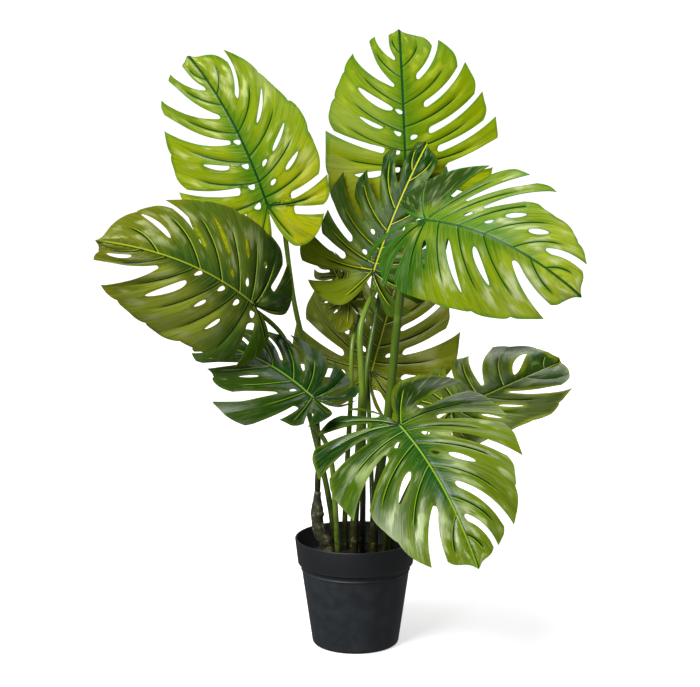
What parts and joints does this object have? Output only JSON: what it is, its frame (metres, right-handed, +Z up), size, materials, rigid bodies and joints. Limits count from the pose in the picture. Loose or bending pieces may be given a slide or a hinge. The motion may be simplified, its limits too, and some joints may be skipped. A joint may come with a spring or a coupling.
{
  "type": "potted monstera deliciosa plant",
  "caption": "Potted split-leaf monstera: large cut and pierced leaves on long arching stems, standing in dark soil in a round tapered plastic pot with a deep rim band.",
  "frame": {"origin": "middle of the pot's flat underside", "axes": "+Z up along the pot's axis, -Y towards the viewer of the picture, +X to that viewer's right"},
  "size_m": [0.5834, 0.4821, 0.7468],
  "materials": {
    "pot": "matte charcoal",
    "soil": "dark loose soil, matt",
    "cane": "brown-green woody stem, matt",
    "stem": "olive green, satin",
    "leaf_lime": "lime green, satin, veined",
    "leaf_green": "mid to dark green, satin, veined",
    "leaf_olive": "olive green, satin, veined"
  },
  "bodies": {
    "root": {"pot": "pot", "soil": "soil", "cane": "cane", "stem_upper_left": "stem", "stem_top": "stem", "stem_right": "stem", "stem_left": "stem", "stem_middle": "stem", "stem_behind": "stem", "stem_low_left": "stem", "stem_front": "stem", "stem_low_right": "stem", "stem_edge": "stem", "leaf_upper_left": "leaf_lime", "leaf_top": "leaf_lime", "leaf_right": "leaf_green", "leaf_left": "leaf_olive", "leaf_middle": "leaf_olive", "leaf_behind": "leaf_olive", "leaf_low_left": "leaf_green", "leaf_front": "leaf_green", "leaf_low_right": "leaf_olive", "leaf_edge": "leaf_green"}
  },
  "joints": []
}
